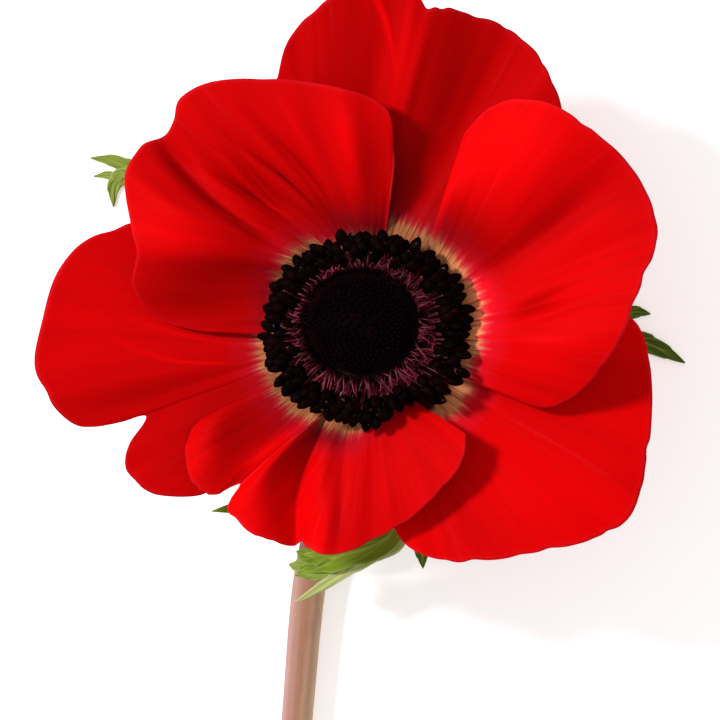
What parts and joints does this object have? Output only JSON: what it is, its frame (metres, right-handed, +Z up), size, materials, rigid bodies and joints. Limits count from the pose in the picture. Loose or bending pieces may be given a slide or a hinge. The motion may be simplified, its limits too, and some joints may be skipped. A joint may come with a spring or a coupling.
{
  "type": "poppy anemone flower",
  "caption": "Cut poppy anemone laid on a surface: broad cupped red petals, a dark centre ringed with stamens, finely cut green bracts and a slim stem with a bent neck.",
  "frame": {"origin": "on the surface that the flower lies on, under the middle of its whole box", "axes": "+Z up from the surface and out of the bloom's face, +Y along the stem towards the bloom, +X to the bloom's right as seen from above"},
  "size_m": [0.0847, 0.1783, 0.037],
  "materials": {
    "tepal": "soft satin petal, vivid red with a cream base",
    "stamen": "dull black anthers, wine-coloured filaments",
    "carpel": "velvety, nearly black",
    "stem": "smooth pinkish skin with fine ribs",
    "bract": "soft green leaf"
  },
  "bodies": {
    "root": {"stem": "stem", "tepal_top": "tepal", "tepal_left": "tepal", "tepal_lower_right": "tepal", "tepal_upper_left": "tepal", "tepal_right": "tepal", "tepal_lower": "tepal", "tepal_lower_left": "tepal", "stamens": "stamen", "carpel_head": "carpel", "bract_left": "bract", "bract_right": "bract", "bract_lower": "bract"}
  },
  "joints": []
}
